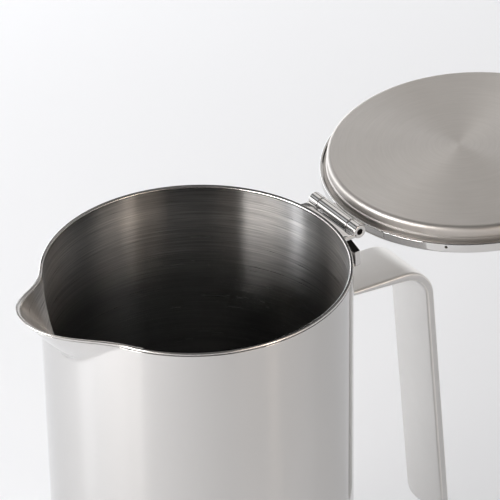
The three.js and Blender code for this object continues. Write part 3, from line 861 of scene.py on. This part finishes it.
def thumb_lever():
    rear = HINGE.x + KNUCKLE_RADIUS + SEAT_GAP
    clear = KNUCKLE_RADIUS + SEAT_GAP
    neck = LEVER_NECK / 2
    wide = LEVER_WIDTH / 2
    slope_top = LEVER_SHOULDER + LEVER_SLOPE
    heights = [*spread(LEVER_ROOT, LEVER_SHOULDER, STRIP_STEPS),
               *spread(LEVER_SHOULDER, slope_top, STRIP_STEPS)[1:],
               *spread(slope_top, LEVER_HEIGHT - LEVER_CORNER, SHORT_STEPS)[1:-1],
               *[LEVER_HEIGHT - LEVER_CORNER * (1 - t) ** 2 for t in spread(0, 1, STRIP_STEPS)]]
    stations = []
    for up in heights:
        front = max(rear - LEVER_PLATE - HINGE.x, math.sqrt(max(0, clear ** 2 - up ** 2)))
        slope = min(1.0, max(0.0, (up - LEVER_SHOULDER) / LEVER_SLOPE))
        near = max(0.0, 1 - math.sqrt((LEVER_HEIGHT - up) / LEVER_CORNER))
        half = neck + (wide - neck) * slope - LEVER_CORNER * near ** 2
        stations.append((Vector((rear, HINGE.z + up)), Vector((HINGE.x + front, HINGE.z + up)), half))
    made = to_mesh(bar(stations, LEVER_EDGE), [hinge_polished, shade_black])
    # Painted shade: the lever's downward faces take the near-black finish
    return give_second_finish(made, lambda normal: normal.z < SHADED_UNDERSIDE_FACING)


piece("bracket", hinge_bracket(), "hinge_bracket", "jug")
piece("pin", hinge_pin(), "hinge_pin", "jug")
piece("leaf", lid_leaf(), "lid_leaf", "lid")
piece("lever", thumb_lever(), "thumb_lever", "lid")


# Lid cover with its vent hole
def lid_cover():
    inner = LID_RADIUS - LID_SHEET
    ceiling = LID_TOP - LID_SHEET
    outline = [(0, ceiling, 0), (inner, ceiling, 0), (inner, LID_BAND_FOOT, BAND_LIP_ROUND),
               (LID_RADIUS, LID_BAND_FOOT, BAND_LIP_ROUND),
               (LID_RADIUS, LID_TOP, LID_EDGE_ROUND), (0, LID_TOP, 0)]
    made = turned(rounded(outline), polished, closed=False,
                  bright=lambda radius, height: height > LID_TOP - SHEET_ROUND,
                  bright_finish=lid_top_brushed)
    drill = bmesh.new()
    bmesh.ops.create_cone(drill, cap_ends=True, segments=DRILL_SIDES,
                          radius1=VENT_RADIUS, radius2=VENT_RADIUS, depth=LID_SHEET * 4)
    tool = to_mesh(drill)
    tool.transform(Matrix.Rotation(VENT_ANGLE, 4, "Z")
                   @ Matrix.Translation((LID_RADIUS - LID_SHEET / 2, 0, LID_BAND_FOOT + VENT_HEIGHT))
                   @ Matrix.Rotation(math.pi / 2, 4, "Y"))
    return drilled(made, tool)


def drilled(mesh, tool_mesh):
    """Mesh with a tool's shape cut from it."""
    body = bpy.data.objects.new("drilled", mesh)
    tool = bpy.data.objects.new("drill", tool_mesh)
    for part in (body, tool):
        bpy.context.scene.collection.objects.link(part)
    cut = body.modifiers.new("cut", "BOOLEAN")
    cut.object = tool
    cut.solver = "EXACT"
    bpy.context.view_layer.update()
    made = bpy.data.meshes.new_from_object(body.evaluated_get(bpy.context.evaluated_depsgraph_get()))
    for part in (body, tool):
        bpy.data.objects.remove(part)
    return made


piece("lid_dish", lid_cover(), "lid_cover", "lid")


# Lid pan, the stepped plug with the brushed face
def lid_pan():
    step = PLUG_RADIUS + PLUG_STEP
    flange = LID_RADIUS - LID_SHEET - SEAT_GAP
    flange_top = PAN_FLANGE_FOOT + LID_SHEET
    inner = PLUG_RADIUS - LID_SHEET
    outline = [(0, PLUG_FACE, 0), (PLUG_RADIUS, PLUG_FACE, PLUG_EDGE_ROUND),
               (PLUG_RADIUS, PLUG_STEP_FOOT, SHEET_ROUND), (step, PLUG_STEP_FOOT + PLUG_STEP, SHEET_ROUND),
               (step, PAN_FLANGE_FOOT, SHEET_ROUND), (flange, PAN_FLANGE_FOOT, SHEET_ROUND),
               (flange, flange_top, SHEET_ROUND), (inner, flange_top, 0),
               (inner, PLUG_FACE + LID_SHEET, 0), (0, PLUG_FACE + LID_SHEET, 0)]
    return turned(rounded(outline), lid_brushed, closed=False,
                  bright=lambda radius, height: radius > PLUG_RADIUS - PLUG_EDGE_ROUND,
                  bright_finish=edge_polished)


lid_plug = piece("lid_plug", lid_pan(), "lid_pan", "lid")
centred(lid_plug.data, brush_centre)

# Inner pieces kept from the frame
hidden_finishes = {
    "reflector_foil": (crinkled_foil(), "foil"),
    "vacuum_base": (plain, "plain_steel"),
    "vacuum_seal": (plain, "plain_steel"),
    "getter": (getter_alloy(), "getter_alloy"),
    "lid_insulation": (pale_foam(), "foam"),
}
for node_name, (hidden_finish, hidden_slot) in hidden_finishes.items():
    node = frame["nodes"][node_name]
    node.data.materials.clear()
    node.data.materials.append(hidden_finish)

# Floor
FLOOR_HALF = 4.0
PAPER = (0.222, 0.229, 0.24)
FAR_PAPER = (0.84, 0.845, 0.855)
FAR_START = 0.65
FAR_DEPTH = 0.5


def pale_floor():
    """Diffuse floor that keeps shadows, with some even paper white for the camera and for reflections."""
    finish, shader, start = new_finish(
        "pale_floor", Metallic=0.0, Roughness=1.0, Specular_IOR_Level=0.0, Emission_Strength=1.0)
    place = object_place(start)
    soft = noise(place, 3.0, 2.0)
    x, y, _ = place.parts()
    far = clamp(((x * x + y * y).math("SQRT") - FAR_START) * (1 / FAR_DEPTH))
    ray = start.node("ShaderNodeLightPath").socket.node
    ray_names = ("Is Camera Ray", "Is Glossy Ray", "Is Transmission Ray")
    camera_ray, glossy_ray, clear_ray = [Link(start.tree, ray.outputs[name]) for name in ray_names]
    seen = camera_ray.math("MAXIMUM", glossy_ray).math("MAXIMUM", clear_ray)
    feed(shader, Base_Color=between(start, soft, (0.685, 0.685, 0.69), (0.70, 0.70, 0.705)),
         Emission_Color=between(start, seen, (0.0, 0.0, 0.0), between(start, far, PAPER, FAR_PAPER)))
    return finish


floor_mesh = bpy.data.meshes.new("floor")
floor_mesh.from_pydata([(-FLOOR_HALF, -FLOOR_HALF, 0), (FLOOR_HALF, -FLOOR_HALF, 0),
                        (FLOOR_HALF, FLOOR_HALF, 0), (-FLOOR_HALF, FLOOR_HALF, 0)], [], [(0, 1, 2, 3)])
floor_mesh.materials.append(pale_floor())
floor = bpy.data.objects.new("floor", floor_mesh)
bpy.context.scene.collection.objects.link(floor)

# Camera, fitted to the rim's ellipse
IMAGE_SIZE = 500
SENSOR_WIDTH = 36.0
FOCAL_PIXELS = 3507.34
VIEW_TURN = math.radians(33.63)
VIEW_PITCH = math.radians(32.241)
VIEW_ROLL = math.radians(-1.0127)
VIEW_FROM_RIM = Vector((17.171, -938.223, 597.267)) * MM


def photo_camera():
    camera = bpy.data.objects.new("camera", bpy.data.cameras.new("camera"))
    camera.data.sensor_width = SENSOR_WIDTH
    camera.data.lens = FOCAL_PIXELS * SENSOR_WIDTH / IMAGE_SIZE
    camera.data.clip_start = 0.01
    round_axis = Matrix.Rotation(-VIEW_TURN, 4, "Z")
    look_down = Matrix.Rotation(math.pi / 2 - VIEW_PITCH, 4, "X")
    roll = Matrix.Rotation(VIEW_ROLL, 4, "Z")
    place = Matrix.Translation(VIEW_FROM_RIM + Vector((0, 0, RIM_HEIGHT)))
    camera.matrix_world = round_axis @ place @ look_down @ roll
    bpy.context.scene.collection.objects.link(camera)
    bpy.context.scene.camera = camera


photo_camera()


# Light: panels placed by their angle round the jug from the camera, positive to the camera's right
PANEL_DISTANCE = 0.75
WINDOW = (0.02, 0.49)
LOW = (0.02, 0.42)
HIGH = (0.5, 1.0)
HANG_DISTANCE = 0.45
HANG_HEIGHT = 0.55
CEILING_HEIGHT = 1.3
CEILING_SIZE = 6.0
NEUTRAL = (1.0, 1.0, 1.0)
COOL = (0.96, 0.97, 1.0)
WARM = (1.0, 0.96, 0.93)
AMBER = (1.0, 0.845, 0.705)


def round_jug(turn, distance, height):
    """Place at an angle in degrees round the jug from the camera, a distance from its axis and a height."""
    angle = math.radians(turn) - VIEW_TURN - math.pi / 2
    return Vector((math.cos(angle) * distance, math.sin(angle) * distance, height))


def lamp_panel(name, place, aim, size, radiance, colour):
    """Rectangular lamp at a place, aimed at a point, with an even radiance over its size."""
    lamp = bpy.data.lights.new(name, "AREA")
    lamp.shape = "RECTANGLE"
    lamp.size, lamp.size_y = size
    lamp.energy = math.pi * size[0] * size[1] * radiance
    lamp.color = colour
    made = bpy.data.objects.new(name, lamp)
    made.location = place
    made.rotation_euler = (place - aim).to_track_quat("Z", "Y").to_euler()
    bpy.context.scene.collection.objects.link(made)


def standing_panel(name, turns, heights, radiance, colour):
    """Upright panel that faces the jug's axis between two angles round it and two heights."""
    low, high = heights
    middle = (low + high) / 2
    width = 2 * PANEL_DISTANCE * math.tan(math.radians(turns[1] - turns[0]) / 2)
    place = round_jug(sum(turns) / 2, PANEL_DISTANCE, middle)
    lamp_panel(name, place, Vector((0, 0, middle)), (width, high - low), radiance, colour)


def hanging_panel(name, turn, size, radiance, colour):
    """Level panel above the floor that faces down, at an angle round the jug."""
    place = round_jug(turn, HANG_DISTANCE, HANG_HEIGHT)
    lamp_panel(name, place, place - Vector((0, 0, 1)), (size, size), radiance, colour)


standing_panel("left_far", (-100, -87), WINDOW, 3.0, NEUTRAL)
standing_panel("left_window", (-85.5, -72), WINDOW, 14.2, COOL)
standing_panel("left_rail", (-68.5, -64), WINDOW, 12.6, NEUTRAL)
standing_panel("left_sash", (-62, -45.5), WINDOW, 10.9, WARM)
standing_panel("left_pane", (-44, -36.5), WINDOW, 13.4, WARM)
standing_panel("front_left", (-36, -18), WINDOW, 0.4, AMBER)
standing_panel("right_pane", (26, 43.5), WINDOW, 1.3, AMBER)
standing_panel("right_edge", (46.3, 54), WINDOW, 6.5, AMBER)
standing_panel("right_window", (54.5, 74), WINDOW, 1.0, AMBER)
standing_panel("right", (76, 110), WINDOW, 0.45, NEUTRAL)
standing_panel("back_right", (110, 145), LOW, 0.53, WARM)
standing_panel("back", (145, 180), LOW, 1.0, NEUTRAL)
standing_panel("back_left", (180, 235), LOW, 2.7, COOL)
standing_panel("back_left_top", (180, 215), HIGH, 0.18, NEUTRAL)
standing_panel("far_left", (235, 258), LOW, 2.3, NEUTRAL)
hanging_panel("back_top", 170, 0.45, 0.72, WARM)
hanging_panel("left_top", -110, 0.35, 0.5, COOL)
lamp_panel("ceiling", Vector((0, 0, CEILING_HEIGHT)), Vector((0, 0, 0)),
           (CEILING_SIZE, CEILING_SIZE), 0.14, NEUTRAL)

world = bpy.data.worlds.new("studio")
world.use_nodes = True
background = world.node_tree.nodes["Background"]
background.inputs["Color"].default_value = (0.0, 0.0, 0.0, 1.0)
background.inputs["Strength"].default_value = 1.0
bpy.context.scene.world = world

bpy.context.scene.view_settings.view_transform = "Standard"
